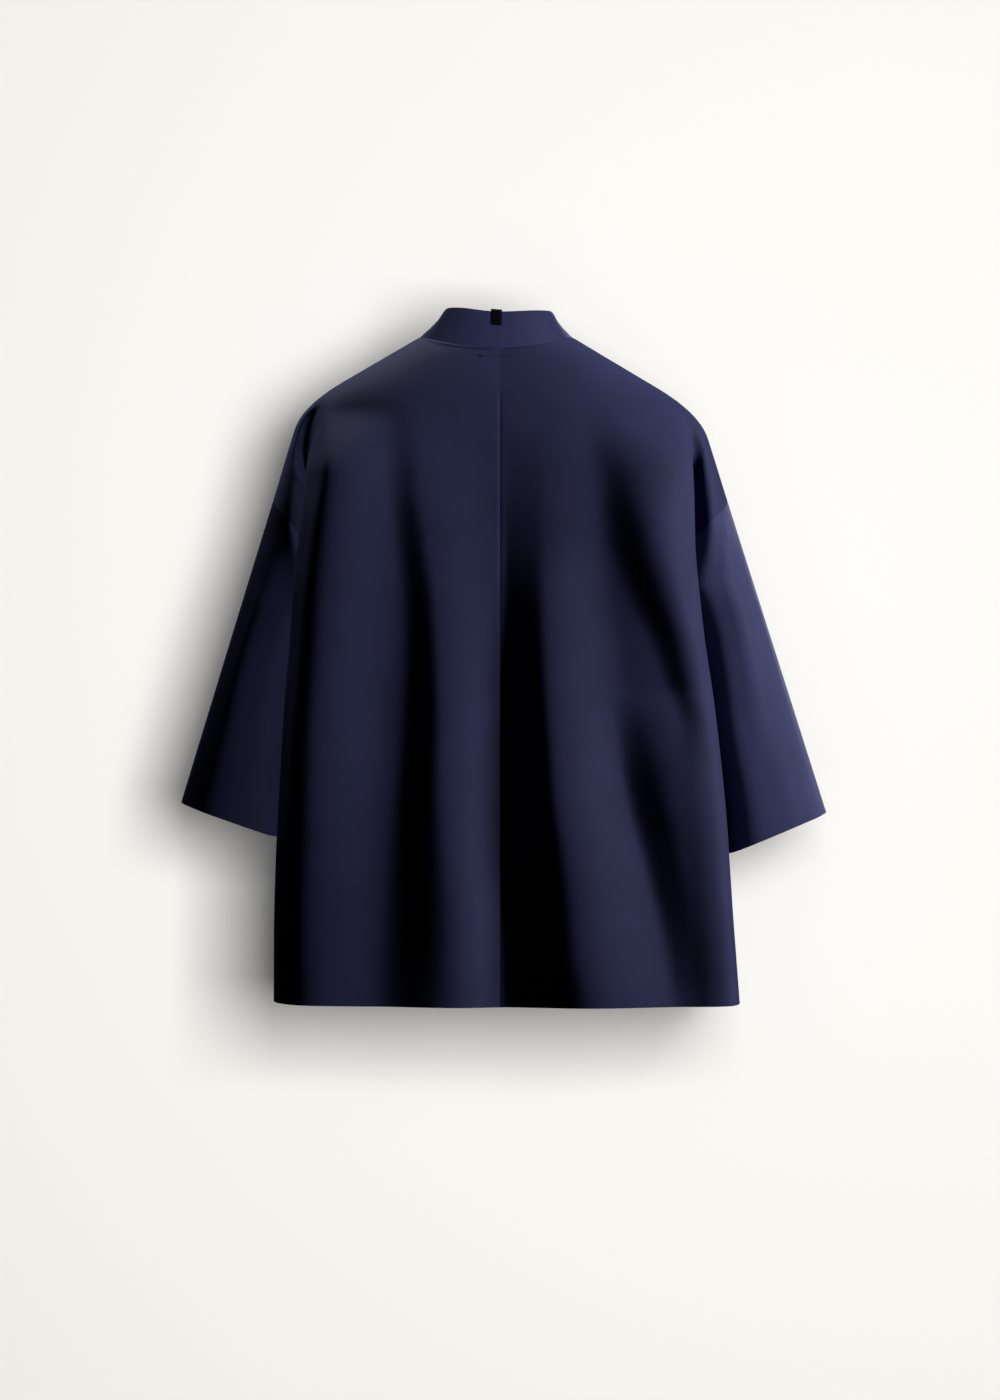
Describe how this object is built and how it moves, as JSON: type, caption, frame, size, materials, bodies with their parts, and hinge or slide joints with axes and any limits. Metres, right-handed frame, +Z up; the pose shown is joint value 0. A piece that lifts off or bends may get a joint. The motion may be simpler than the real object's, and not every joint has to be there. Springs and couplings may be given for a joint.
{
  "type": "haori jacket",
  "caption": "Short open-fronted jacket with a folded collar band, wide three-quarter sleeves and soft vertical folds, in a hollow worn form.",
  "frame": {"origin": "underside of the back neck seam at the centre back, where the nape and shoulders hold the jacket up", "axes": "+Z up, +Y the way the wearer faces, +X towards the wearer's right hand"},
  "size_m": [0.6452, 0.2898, 0.6878],
  "materials": {
    "cloth": "matt navy woven cloth",
    "tape": "matt near-black tape"
  },
  "bodies": {
    "root": {"back_right": "cloth", "back_left": "cloth", "front_right": "cloth", "front_left": "cloth", "sleeve_right": "cloth", "sleeve_left": "cloth", "collar_right": "cloth", "collar_left": "cloth", "neck_tab": "tape"}
  },
  "joints": []
}
